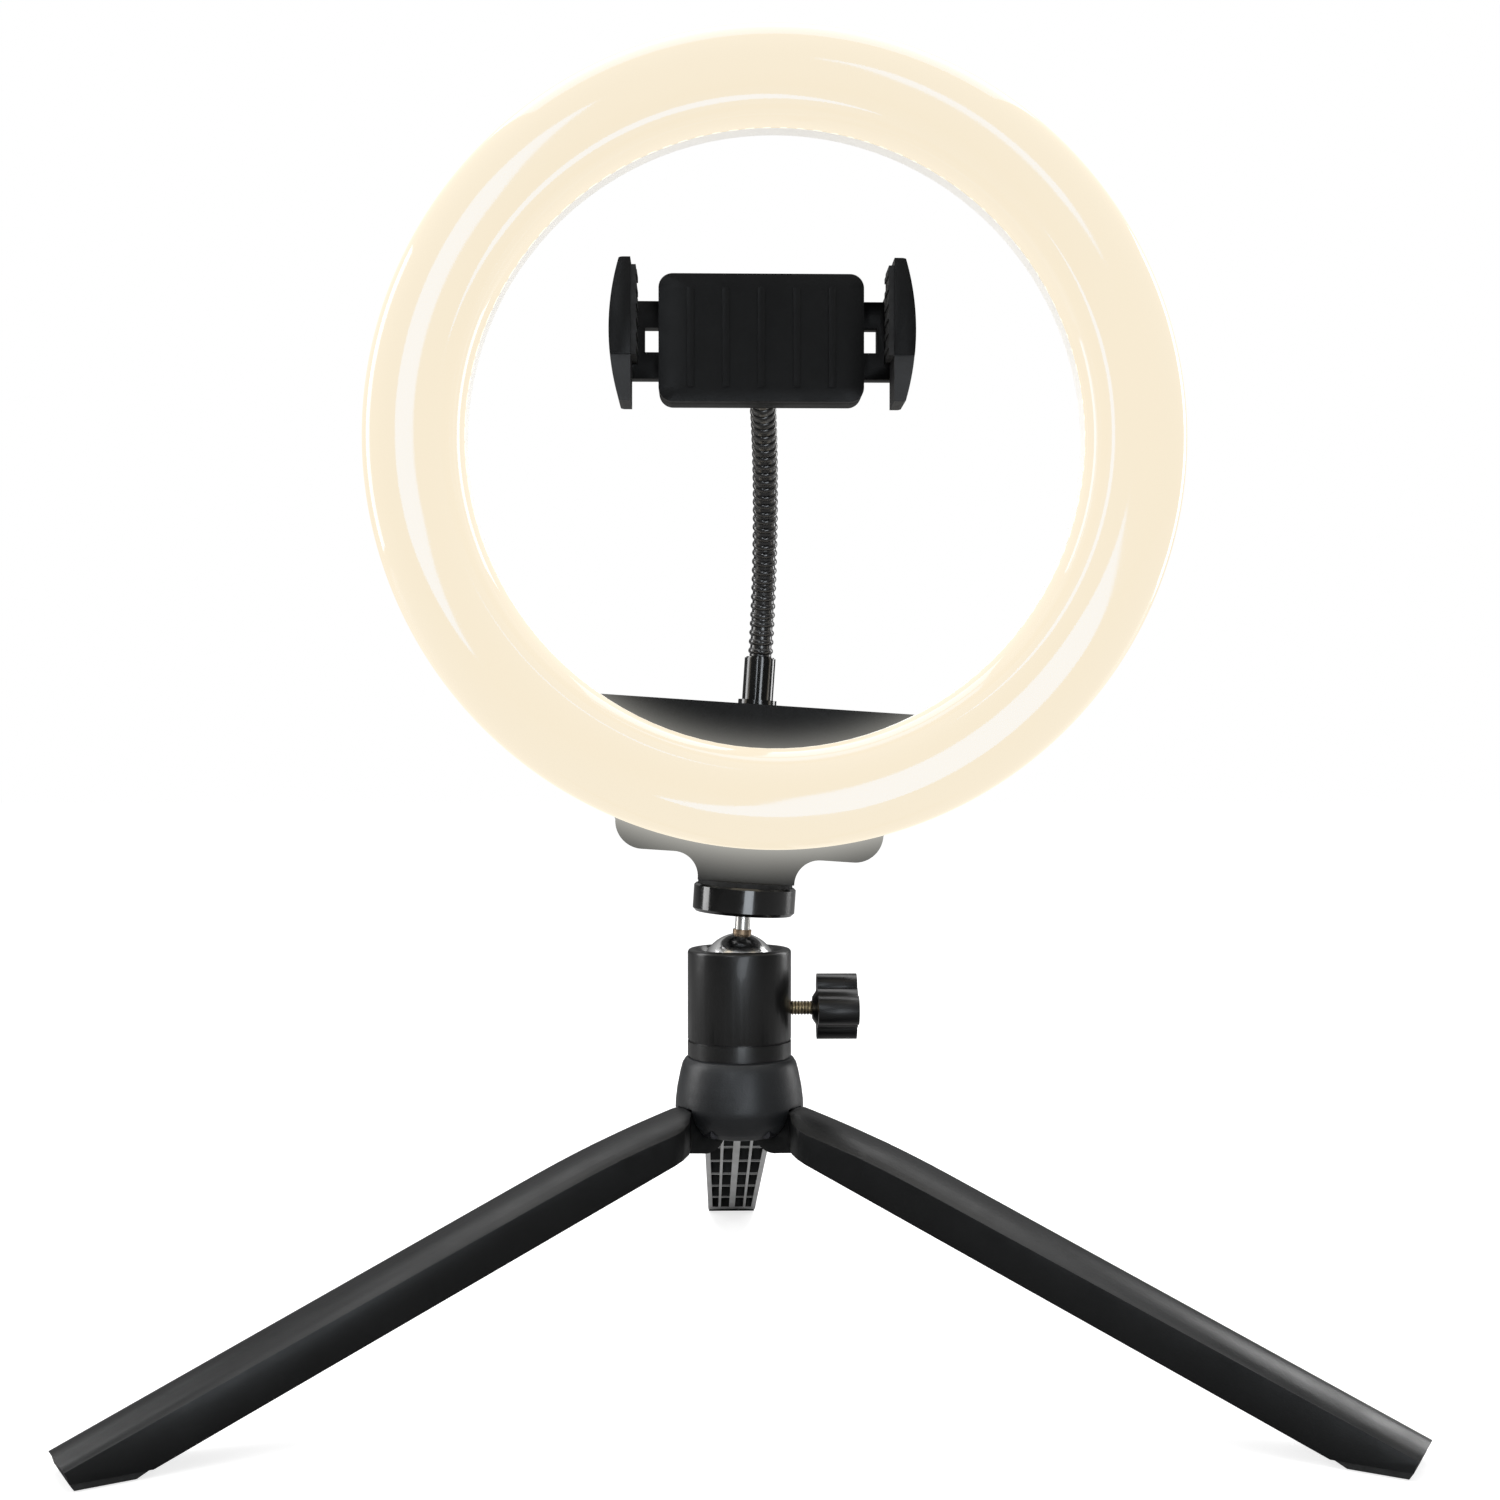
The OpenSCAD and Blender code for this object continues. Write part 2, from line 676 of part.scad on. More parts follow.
module holder_housing() {
    color("#141414") at_holder() difference() {
        union() {
            difference() {
                translate([0, 0, house_back]) linear_extrude(house_split - house_back) house_outline(0);
                translate([0, 0, house_back + wall]) linear_extrude(20) house_outline(wall);
            }
            translate([-1, -house_up + 1, house_back + 1])
                cube([2, 2 * house_up - 2, house_split - house_back - 1]);
            for (p = small_screws_at) translate([p[0], p[1], house_back + 1])
                cylinder(r = 2.2, h = house_split - house_back - 1);
        }
        mirrored() translate([house_half - wall - 1, -arm_half - slide_gap, arm_z - slide_gap])
            cube([wall + 2, 2 * (arm_half + slide_gap), arm_t + 2 * slide_gap]);
        for (y = [-rod_y, rod_y]) translate([-5, y, arm_z + arm_t / 2]) rotate([0, 90, 0])
            cylinder(r = rod_r, h = 10);
        for (p = small_screws_at) translate([p[0], p[1], house_back - 1]) {
            cylinder(r = 0.9, h = 20);
            cylinder(r = 1.8, h = head_t + 1);
        }
    }
}
module holder_face() {
    color("#141414") at_holder() difference() {
        union() {
            translate([0, 0, house_split]) linear_extrude(house_front - house_split - 0.5) house_outline(0);
            translate([0, 0, house_front - 1]) linear_extrude(0.5) house_outline(1);
            for (x = [-20, -10, 0, 10, 20]) translate([x - 1, -14, house_front - 1]) cube([2, 28, 1]);
        }
        for (p = small_screws_at) translate([p[0], p[1], house_split - 1]) cylinder(r = 0.9, h = 2.6);
    }
}
module holder_rods() {
    color("silver") at_holder() for (y = [-rod_y, rod_y])
        translate([-26.5, y, arm_z + arm_t / 2]) rotate([0, 90, 0]) cylinder(r = rod_r, h = 53);
}
// Wound spring along X, swept round its helix
module spring() {
    n = 8 * spring_turns;
    m = 5;
    points = [for (i = [0:n], j = [0:m - 1])
        let (a = i * 45, b = j * 360 / m, r = spring_r + spring_wire * cos(b))
        [i * spring_l / n + spring_wire * sin(b), r * cos(a), r * sin(a)]];
    faces = concat([[for (j = [0:m - 1]) j]], [[for (j = [m - 1:-1:0]) n * m + j]],
        [for (i = [0:n - 1], j = [0:m - 1]) let (k = (j + 1) % m)
            [i * m + j, (i + 1) * m + j, (i + 1) * m + k, i * m + k]]);
    polyhedron(points, faces, convexity = 10);
}
module holder_springs() {
    color("silver") at_holder() mirrored() translate([2, 0, arm_z + arm_t / 2]) spring();
}
module holder_screws() {
    color("silver") at_holder() for (p = small_screws_at) translate([p[0], p[1], house_back])
        pan_screw(8.5, 0.9, 1.8);
}
module on_side(s) { at_holder() mirror([s < 0 ? 1 : 0, 0, 0]) children(); }
// Side of a jaw seen from the front, bulging outwards and rounded at its outer corners
module jaw_outline(y0, y1) {
    x0 = jaw_in + jaw_pad_t;
    intersection() {
        translate([x0, y0]) square([jaw_t, y1 - y0]);
        translate([x0 + jaw_t - 70, 0]) circle(70, $fn = 96);
        union() {
            translate([x0 - 10, -jaw_h / 2 + 3]) square([20, jaw_h - 6]);
            translate([x0 - 10, -jaw_h / 2]) square([10 + jaw_t - 4, jaw_h]);
            for (y = [-1, 1]) translate([x0 + jaw_t - 4, y * (jaw_h / 2 - 3)]) circle(3);
        }
    }
}
module jaw(s) {
    color("#101010") on_side(s) difference() {
        union() {
            translate([0, 0, jaw_back]) linear_extrude(jaw_front - jaw_back) jaw_outline(jaw_seam, jaw_h / 2);
            translate([jaw_in, jaw_seam, jaw_back]) cube([jaw_pad_t + 1, 19, house_front - jaw_back - 0.5]);
            translate([arm_end, -arm_half, arm_z])
                cube([jaw_in + jaw_pad_t + 1 - arm_end, 2 * arm_half, arm_t]);
        }
        for (y = [-rod_y, rod_y]) translate([arm_end - 1, y, arm_z + arm_t / 2]) rotate([0, 90, 0])
            cylinder(r = rod_r + 0.08, h = jaw_in - arm_end - 1);
        translate([arm_end - 1, -3.5, arm_z - 1]) cube([jaw_in - arm_end - 1, 7, arm_t + 2]);
    }
}
module jaw_pad(s) {
    color("#1c1c1c") on_side(s) translate([jaw_in, jaw_seam, house_front]) {
        cube([jaw_pad_t, jaw_h / 2 - 2 - jaw_seam, jaw_front - house_front - 0.5]);
        for (i = [0:5]) translate([-0.3, 2 + i * 4, 0]) cube([1, 1.4, jaw_front - house_front - 0.5]);
    }
}
module jaw_foot(s) {
    color("#3a3a3a") on_side(s) translate([0, 0, arm_z + arm_t + 0.5])
        linear_extrude(jaw_front - 1 - arm_z - arm_t) jaw_outline(-jaw_h / 2, jaw_seam);
}
module jaw_left() { jaw(-1); }
module jaw_right() { jaw(1); }
module jaw_pad_left() { jaw_pad(-1); }
module jaw_pad_right() { jaw_pad(1); }
module jaw_foot_left() { jaw_foot(-1); }
module jaw_foot_right() { jaw_foot(1); }

ring_diffuser();
ring_back_shell();
led_board();
warm_leds();
cool_leds();
ring_screws();
ring_mount_screws();
bracket_front_shell();
bracket_rear_shell();
bracket_screws();
driver_board();
power_inlet();
thread_insert();
platform_stud();
platform_pad();
platform_disc();
ball_stem();
stem_collar();
ball();
ball_seat();
ballhead_body();
lock_screw();
lock_knob();
ballhead_base();
tripod_bolt();
hub();
hub_cap();
hinge_pins();
leg_left();
leg_right();
leg_back();
foot_pad_left();
foot_pad_right();
foot_pad_back();
gooseneck_ferrule();
gooseneck_segment_1();
gooseneck_segment_2();
gooseneck_segment_3();
gooseneck_segment_4();
gooseneck_segment_5();
gooseneck_segment_6();
gooseneck_segment_7();
gooseneck_segment_8();
gooseneck_end();
holder_stem();
holder_ball();
holder_seat();
holder_nut();
holder_socket();
holder_housing();
holder_face();
holder_rods();
holder_springs();
holder_screws();
jaw_left();
jaw_right();
jaw_pad_left();
jaw_pad_right();
jaw_foot_left();
jaw_foot_right();
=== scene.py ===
import json
import math

import bmesh
import bpy
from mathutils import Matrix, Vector

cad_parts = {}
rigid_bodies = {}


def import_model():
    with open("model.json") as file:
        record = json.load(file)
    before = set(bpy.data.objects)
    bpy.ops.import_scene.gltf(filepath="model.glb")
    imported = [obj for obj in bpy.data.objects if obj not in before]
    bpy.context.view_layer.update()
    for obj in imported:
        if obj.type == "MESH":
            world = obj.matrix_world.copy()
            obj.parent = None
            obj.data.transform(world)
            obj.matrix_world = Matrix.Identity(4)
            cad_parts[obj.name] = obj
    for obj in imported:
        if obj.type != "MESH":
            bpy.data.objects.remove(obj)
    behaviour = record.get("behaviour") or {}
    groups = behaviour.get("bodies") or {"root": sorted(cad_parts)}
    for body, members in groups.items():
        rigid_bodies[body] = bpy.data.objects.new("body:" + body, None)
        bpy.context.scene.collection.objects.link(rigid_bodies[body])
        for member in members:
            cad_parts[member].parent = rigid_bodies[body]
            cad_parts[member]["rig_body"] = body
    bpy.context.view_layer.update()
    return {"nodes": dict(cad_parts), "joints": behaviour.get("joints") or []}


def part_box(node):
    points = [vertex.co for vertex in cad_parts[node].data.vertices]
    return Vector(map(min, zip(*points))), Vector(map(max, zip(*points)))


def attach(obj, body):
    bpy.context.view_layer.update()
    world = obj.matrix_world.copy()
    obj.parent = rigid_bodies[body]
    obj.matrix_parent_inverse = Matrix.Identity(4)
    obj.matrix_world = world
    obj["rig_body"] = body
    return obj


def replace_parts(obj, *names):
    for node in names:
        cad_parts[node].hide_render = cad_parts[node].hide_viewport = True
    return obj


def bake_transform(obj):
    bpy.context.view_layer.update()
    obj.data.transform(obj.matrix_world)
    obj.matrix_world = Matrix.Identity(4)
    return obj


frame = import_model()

MM = 0.001
nodes = frame["nodes"]
joints = {j["name"]: j for j in frame["joints"]}

# ---- Places, all worked out from the frame ----

ball_at = Vector(joints["head_roll"]["pos_m"])
head_up = Vector(joints["head_spin"]["axis"]).normalized()
hub_y = ball_at.y


def middle(node):
    lo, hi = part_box(node)
    return (Vector(lo) + Vector(hi)) / 2


ring_at = Vector((middle("led_board").x, ball_at.y, middle("led_board").z))
ring_lo, ring_hi = [Vector(v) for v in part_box("ring_back_shell")]
ring_outer = (ring_hi.x - ring_lo.x) / 2
ring_inner = ring_outer - 32 * MM
ring_seam = 15.5 * MM


# ---- Node helpers ----

def new_material(name):
    mat = bpy.data.materials.new(name)
    mat.use_nodes = True
    tree = mat.node_tree
    shader = tree.nodes["Principled BSDF"]
    return mat, tree, shader


def add(tree, kind, **settings):
    node = tree.nodes.new(kind)
    for key, value in settings.items():
        if key.startswith("in_"):
            node.inputs[key[3:].replace("_", " ")].default_value = value
        else:
            setattr(node, key, value)
    return node


def noise(tree, coords, scale, detail=3.0, stretch=None, rough=0.5):
    if stretch:
        mapping = add(tree, "ShaderNodeMapping")
        mapping.inputs["Scale"].default_value = stretch
        tree.links.new(coords, mapping.inputs["Vector"])
        coords = mapping.outputs["Vector"]
    node = add(tree, "ShaderNodeTexNoise", in_Scale=scale, in_Detail=detail, in_Roughness=rough)
    tree.links.new(coords, node.inputs["Vector"])
    return node.outputs["Fac"]


def remap(tree, value, lo, hi, from_lo=0.3, from_hi=0.7):
    node = add(tree, "ShaderNodeMapRange")
    for key, number in (("From Min", from_lo), ("From Max", from_hi), ("To Min", lo), ("To Max", hi)):
        node.inputs[key].default_value = number
    tree.links.new(value, node.inputs["Value"])
    return node.outputs["Result"]


def math_node(tree, op, a, b=None):
    node = add(tree, "ShaderNodeMath", operation=op)
    for i, value in enumerate((a, b)):
        if value is None:
            continue
        if isinstance(value, (int, float)):
            node.inputs[i].default_value = value
        else:
            tree.links.new(value, node.inputs[i])
    return node.outputs[0]


def mix_colour(tree, fac, a, b):
    node = add(tree, "ShaderNodeMix", data_type="RGBA")
    tree.links.new(fac, node.inputs["Factor"])
    for socket, colour in ((node.inputs[6], a), (node.inputs[7], b)):
        if isinstance(colour, tuple):
            socket.default_value = (*colour, 1)
        else:
            tree.links.new(colour, socket)
    return node.outputs[2]


def bump(tree, height, shader, strength, distance, before=None):
    node = add(tree, "ShaderNodeBump", in_Strength=strength, in_Distance=distance)
    tree.links.new(height, node.inputs["Height"])
    if before:
        tree.links.new(before, node.inputs["Normal"])
    tree.links.new(node.outputs["Normal"], shader.inputs["Normal"])
    return node.outputs["Normal"]


def local(tree):
    return add(tree, "ShaderNodeTexCoord").outputs["Object"]


# ---- Materials ----

def moulded(name, colour, rough, grain=0.35, grain_mm=0.35, gloss=0.5):
    """Moulded plastic: fine spark-eroded grain, slow colour drift, faint rubbed patches."""
    mat, tree, shader = new_material(name)
    at = local(tree)
    drift = remap(tree, noise(tree, at, 38, 4), 0, 1)
    darker = tuple(c * 0.82 for c in colour)
    lighter = tuple(min(1, c * 1.18 + 0.002) for c in colour)
    rubbed = remap(tree, noise(tree, at, 160, 5, rough=0.62), 0, 0.25, 0.55, 0.8)
    base = mix_colour(tree, drift, darker, lighter)
    worn = tuple(min(1, c * 1.4 + 0.003) for c in colour)
    tree.links.new(mix_colour(tree, rubbed, base, worn), shader.inputs["Base Color"])
    patchy = remap(tree, noise(tree, at, 90, 4), rough - 0.05, rough + 0.06)
    tree.links.new(patchy, shader.inputs["Roughness"])
    fine = noise(tree, at, 1 / (grain_mm * MM), 2)
    wide = noise(tree, at, 220, 2)
    first = bump(tree, wide, shader, 0.12, 0.2 * MM)
    bump(tree, fine, shader, grain, 0.05 * MM, first)
    shader.inputs["Specular IOR Level"].default_value = gloss
    return mat


def lacquer(name, colour, rough=0.12, coat=0.7):
    """Glossy black enamel over metal: orange peel, dust pits and a clear coat."""
    mat, tree, shader = new_material(name)
    at = local(tree)
    drift = remap(tree, noise(tree, at, 60, 4), 0, 1)
    tree.links.new(mix_colour(tree, drift, colour, tuple(c * 1.6 + 0.003 for c in colour)),
                   shader.inputs["Base Color"])
    tree.links.new(remap(tree, noise(tree, at, 140, 5), rough, rough + 0.1), shader.inputs["Roughness"])
    peel = noise(tree, at, 420, 2)
    first = bump(tree, peel, shader, 0.16, 0.12 * MM)
    pits = remap(tree, noise(tree, at, 1600, 2), 0, 1, 0.66, 0.74)
    bump(tree, pits, shader, 0.12, 0.05 * MM, first)
    shader.inputs["Coat Weight"].default_value = coat
    shader.inputs["Coat Roughness"].default_value = 0.06
    return mat


def metal(name, colour, rough, brushed=0.0, axis=(1, 1, 1), tarnish=0.15):
    """Plated or turned metal with fine scratches and a little tarnish."""
    mat, tree, shader = new_material(name)
    at = local(tree)
    dull = remap(tree, noise(tree, at, 180, 5), 0, tarnish, 0.45, 0.75)
    worn = tuple(c * 0.55 for c in colour)
    tree.links.new(mix_colour(tree, dull, colour, worn), shader.inputs["Base Color"])
    shader.inputs["Metallic"].default_value = 1.0
    patchy = remap(tree, noise(tree, at, 420, 5), rough, rough * 1.5 + 0.04)
    tree.links.new(patchy, shader.inputs["Roughness"])
    scratches = noise(tree, at, 900, 3, stretch=axis)
    bump(tree, scratches, shader, 0.05 + brushed, 0.03 * MM)
    return mat


def rubber(name):
    colour = (0.018, 0.018, 0.018)
    mat, tree, shader = new_material(name)
    at = local(tree)
    drift = remap(tree, noise(tree, at, 240, 5), 0, 1)
    lighter = tuple(c * 1.9 for c in colour)
    tree.links.new(mix_colour(tree, drift, colour, lighter), shader.inputs["Base Color"])
    tree.links.new(remap(tree, noise(tree, at, 500, 3), 0.62, 0.8), shader.inputs["Roughness"])
    bump(tree, noise(tree, at, 1800, 3), shader, 0.5, 0.06 * MM)
    shader.inputs["Specular IOR Level"].default_value = 0.35
    return mat


def from_ring_axis(tree, at):
    """Distance of a point from the ring's axis, in metres."""
    flat = add(tree, "ShaderNodeVectorMath", operation="MULTIPLY")
    flat.inputs[1].default_value = (1, 0, 1)
    tree.links.new(at, flat.inputs[0])
    far = add(tree, "ShaderNodeVectorMath", operation="DISTANCE")
    far.inputs[1].default_value = (ring_at.x, 0, ring_at.z)
    tree.links.new(flat.outputs[0], far.inputs[0])
    return far.outputs["Value"]


def milky(name):
    """Milky diffuser, lit warm from inside: paler crown, deeper cream edges, cool highlights."""
    mat, tree, shader = new_material(name)
    at = local(tree)
    r = from_ring_axis(tree, at)
    mid = (ring_outer + ring_inner) / 2
    half = (ring_outer - ring_inner) / 2
    off = math_node(tree, "ABSOLUTE", math_node(tree, "SUBTRACT", r, mid))
    edge = remap(tree, off, 0, 1, 0.45 * half, half)
    cloud = remap(tree, noise(tree, at, 24, 3), -0.12, 0.12)
    shade = math_node(tree, "ADD", edge, cloud)
    glow = mix_colour(tree, shade, (0.900, 0.796, 0.616), (0.914, 0.812, 0.634))
    tree.links.new(glow, shader.inputs["Emission Color"])
    shader.inputs["Emission Strength"].default_value = 1.0
    base = mix_colour(tree, shade, (0.12, 0.11, 0.09), (0.10, 0.08, 0.06))
    tree.links.new(base, shader.inputs["Base Color"])
    tree.links.new(remap(tree, noise(tree, at, 70, 4), 0.05, 0.07), shader.inputs["Roughness"])
    bump(tree, noise(tree, at, 1500, 2), shader, 0.05, 0.02 * MM)
    shader.inputs["Specular Tint"].default_value = (0.15, 0.48, 1.0, 1)
    return mat


def white_shell(name):
    """White housing moulding; its inner wall has a painted glow, emission standing in for the diffuser's
    light reaching it.
    """
    mat, tree, shader = new_material(name)
    at = local(tree)
    drift = remap(tree, noise(tree, at, 45, 4), 0, 1)
    base = mix_colour(tree, drift, (0.80, 0.79, 0.75), (0.86, 0.85, 0.82))
    tree.links.new(base, shader.inputs["Base Color"])
    tree.links.new(remap(tree, noise(tree, at, 120, 4), 0.34, 0.46), shader.inputs["Roughness"])
    bump(tree, noise(tree, at, 2400, 2), shader, 0.25, 0.04 * MM)
    # painted glow: emission on the inner wall beside the hole, fading out over 1.5 mm
    lit = remap(tree, from_ring_axis(tree, at), 0.5, 0, ring_inner + 1 * MM, ring_inner + 2.5 * MM)
    shader.inputs["Emission Color"].default_value = (1.0, 0.97, 0.92, 1)
    tree.links.new(lit, shader.inputs["Emission Strength"])
    return mat


def bracket_painted_glow(name):
    """Black bracket plastic with a painted glow beside the ring: emission standing in for the ring's light
    falling on it.
    """
    mat = moulded(name, (0.006, 0.006, 0.006), 0.42, grain=0.5, grain_mm=0.45, gloss=0.15)
    tree = mat.node_tree
    shader = tree.nodes["Principled BSDF"]
    # painted glow: emission that rises towards the ring's inner and outer edges, in place of the ring's light
    # falling there
    r = from_ring_axis(tree, local(tree))
    inside = remap(tree, r, 0, 1, ring_inner - 12 * MM, ring_inner + 1 * MM)
    outside = remap(tree, r, 1, 0, ring_outer, ring_outer + 13 * MM)
    both = math_node(tree, "MULTIPLY", math_node(tree, "POWER", inside, 2.6), outside)
    low = math_node(tree, "POWER", outside, 2.2)
    past = remap(tree, r, 0, 1, ring_outer - 1 * MM, ring_outer)
    glow = math_node(tree, "ADD", both, math_node(tree, "MULTIPLY", low, past))
    strength = math_node(tree, "MULTIPLY", glow, 0.20)
    shader.inputs["Emission Color"].default_value = (1.0, 0.98, 0.9, 1)
    tree.links.new(strength, shader.inputs["Emission Strength"])
    return mat


def board(name, colour, copper):
    """Circuit board: solder mask with faint tracks."""
    mat, tree, shader = new_material(name)
    at = local(tree)
    tracks = add(tree, "ShaderNodeTexVoronoi", in_Scale=260.0, distance="CHEBYCHEV")
    tree.links.new(at, tracks.inputs["Vector"])
    line = remap(tree, tracks.outputs["Distance"], 0, 1, 0.30, 0.42)
    tree.links.new(mix_colour(tree, line, colour, copper), shader.inputs["Base Color"])
    tree.links.new(remap(tree, noise(tree, at, 300, 3), 0.3, 0.45), shader.inputs["Roughness"])
    return mat


def led(name, colour):
    mat, tree, shader = new_material(name)
    at = local(tree)
    drift = remap(tree, noise(tree, at, 700, 2), 0, 1)
    tree.links.new(mix_colour(tree, drift, colour, (0.95, 0.93, 0.88)), shader.inputs["Base Color"])
    shader.inputs["Emission Color"].default_value = (*colour, 1)
    shader.inputs["Emission Strength"].default_value = 1.0
    return mat


# ---- Shapes ----

def new_piece(name, bm, material, body):
    """Turns a bmesh into a finished piece that rides on a body."""
    mesh = bpy.data.meshes.new(name)
    bmesh.ops.recalc_face_normals(bm, faces=bm.faces)
    for face in bm.faces:
        face.smooth = True
    bm.to_mesh(mesh)
    bm.free()
    mesh.materials.append(material)
    piece = bpy.data.objects.new(name, mesh)
    bpy.context.collection.objects.link(piece)
    if body:
        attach(piece, body)
    return piece


def lathe(profile, steps, place):
    """Closed ring of a closed (radius, along) outline, turned about an axis; place maps (a, r, along)."""
    bm = bmesh.new()
    rows = []
    for i in range(steps):
        a = 2 * math.pi * i / steps
        rows.append([bm.verts.new(place(a, r, z)) for r, z in profile])
    for i, row in enumerate(rows):
        after = rows[(i + 1) % steps]
        for j in range(len(profile)):
            k = (j + 1) % len(profile)
            bm.faces.new((row[j], row[k], after[k], after[j]))
    return bm


def cad_copy(node):
    """The node's mesh with its split corners joined again."""
    bm = bmesh.new()
    bm.from_mesh(nodes[node].data)
    bmesh.ops.remove_doubles(bm, verts=bm.verts, dist=0.002 * MM)
    bmesh.ops.dissolve_degenerate(bm, edges=bm.edges, dist=0.002 * MM)
    return bm


def round_edges(piece, width, segments, angle):
    bevel = piece.modifiers.new("round_edges", "BEVEL")
    bevel.width = width * MM
    bevel.segments = segments
    bevel.limit_method = "ANGLE"
    bevel.angle_limit = math.radians(angle)
    bevel.use_clamp_overlap = True
    bevel.harden_normals = True
    return piece


def soften(node, width, material):
    """Copy of a CAD node with its sharp edges rounded, which stands for it."""
    piece = new_piece("soft_" + node, cad_copy(node), material, nodes[node]["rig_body"])
    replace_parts(round_edges(piece, width, 2, 28), node)


def paint(material, *names):
    for name in names:
        mesh = nodes[name].data
        mesh.materials.clear()
        mesh.materials.append(material)


satin_hub = moulded("hub_plastic", (0.024, 0.026, 0.029), 0.42, grain=0.8, grain_mm=0.6, gloss=0.45)
satin_leg = moulded("leg_plastic", (0.007, 0.0075, 0.008), 0.38, grain=0.45, grain_mm=0.5, gloss=0.3)
black = moulded("black_plastic", (0.006, 0.006, 0.006), 0.40, grain=0.5, grain_mm=0.4, gloss=0.15)
knob_black = moulded("knob_plastic", (0.007, 0.007, 0.008), 0.32, grain=0.25, grain_mm=0.4, gloss=0.4)
grey_trim = moulded("grey_trim", (0.030, 0.030, 0.031), 0.5, grain=0.6, grain_mm=0.4, gloss=0.4)
enamel = lacquer("black_enamel", (0.003, 0.003, 0.003))
satin_enamel = lacquer("satin_enamel", (0.002, 0.002, 0.002), 0.30, coat=0.15)
hose_coat = lacquer("hose_coating", (0.004, 0.004, 0.0045), 0.22)
chrome = metal("chrome", (0.88, 0.88, 0.88), 0.14)
steel = metal("bright_steel", (0.74, 0.73, 0.70), 0.22, brushed=0.1, axis=(1, 1, 8))
dark_steel = metal("blackened_steel", (0.10, 0.10, 0.11), 0.35)
nickel = metal("nickel_brass", (0.58, 0.51, 0.38), 0.25, tarnish=0.5)
brown = metal("brown_collar", (0.34, 0.25, 0.17), 0.35, tarnish=0.5)
# painted highlight: near-white colour for the leg underside's rib faces, standing in for light caught on them
rib_painted_highlight = moulded("rib_painted_highlight", (0.90, 0.90, 0.89), 0.42, grain=0.3)
brass = metal("brass", (0.80, 0.60, 0.28), 0.25)
black_rubber = rubber("black_rubber")
nylon = moulded("nylon", (0.62, 0.60, 0.55), 0.45, grain=0.2)

paint(white_shell("white_housing_painted_rim_glow"), "ring_back_shell")
paint(board("white_board", (0.82, 0.82, 0.80), (0.70, 0.70, 0.66)), "led_board")
paint(board("green_board", (0.01, 0.12, 0.045), (0.02, 0.20, 0.08)), "driver_board")
paint(led("warm_led", (0.95, 0.62, 0.22)), "warm_leds")
paint(led("cool_led", (0.92, 0.90, 0.62)), "cool_leds")
paint(steel, "ring_screws", "ring_mount_screws", "platform_stud", "ball_stem", "tripod_bolt", "holder_rods",
      "holder_springs")
paint(dark_steel, "bracket_screws", "holder_screws", "hinge_pins")
paint(bracket_painted_glow("bracket_plastic_painted_glow"), "bracket_front_shell")
paint(black, "bracket_rear_shell", "power_inlet", "holder_nut", "holder_socket", "holder_housing",
      "holder_face", "jaw_left", "jaw_right")
paint(grey_trim, "jaw_foot_left", "jaw_foot_right")
paint(brass, "thread_insert")
paint(black_rubber, "platform_pad", "foot_pad_left", "foot_pad_right", "foot_pad_back", "jaw_pad_left",
      "jaw_pad_right")
paint(enamel, "platform_disc", "gooseneck_ferrule", "gooseneck_end")
paint(satin_enamel, "ballhead_body", "ballhead_base")
paint(chrome, "ball", "holder_ball", "holder_stem")
paint(brown, "stem_collar")
paint(nylon, "ball_seat", "holder_seat")
paint(nickel, "lock_screw")
paint(knob_black, "lock_knob")
paint(satin_hub, "hub", "hub_cap")
paint(satin_leg, "leg_left", "leg_right", "leg_back")
paint(hose_coat, *[f"gooseneck_segment_{k}" for k in range(1, 9)])


def make_diffuser(material):
    """Smooth milky shell over the ring, in place of the faceted one."""
    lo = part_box("ring_diffuser")[0]
    mid, half = (ring_outer + ring_inner) / 2, (ring_outer - ring_inner) / 2
    front_y, edge_y = lo.y, hub_y - ring_seam
    outer = []
    for i in range(65):
        a = math.pi * i / 64
        across = math.copysign(abs(math.cos(a)) ** 0.72, math.cos(a))
        outer.append((mid + half * across, edge_y + (front_y - edge_y) * math.sin(a) ** 0.8))
    shell = 2 * MM
    inner = [(mid + (r - mid) * (1 - shell / half), y + shell * (1 if y < edge_y - shell else 0))
             for r, y in reversed(outer)]

    def place(a, r, y):
        return (ring_at.x + r * math.cos(a), y, ring_at.z + r * math.sin(a))

    piece = new_piece("diffuser", lathe(outer + inner, 256, place), material, "head")
    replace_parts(piece, "ring_diffuser")


# The CAD leg's knee and the line of its open underside, as (distance from the hub's axis, height)
knee = (50 * MM, 73.6 * MM)
under_root = (21.1 * MM, 69.8 * MM)
under_heel = (190 * MM, 1.8 * MM)
knee_reach = 24 * MM
knee_turn = math.tan(math.radians(22)) - math.tan(math.radians(15.4))


def round_knee(bm, out, reach):
    """Turns the crease across a leg's knee into a smooth curve that stays inside the crease."""
    hub = Vector((0, hub_y, 0))
    steps = 16
    for i in range(steps + 1):
        at = hub + out * (knee[0] + reach * (2 * i / steps - 1))
        geometry = bm.verts[:] + bm.edges[:] + bm.faces[:]
        bmesh.ops.bisect_plane(bm, geom=geometry, plane_co=at, plane_no=out, dist=0.001 * MM)
    slope = (under_heel[1] - under_root[1]) / (under_heel[0] - under_root[0])
    for vert in bm.verts:
        u = (vert.co - hub).dot(out)
        near = reach - abs(u - knee[0])
        if near <= 0:
            continue
        low = under_root[1] + (u - under_root[0]) * slope
        share = min(1, max(0, (vert.co.z - low) / (knee[1] - low)))
        vert.co.z -= knee_turn * near * near / (4 * reach) * share


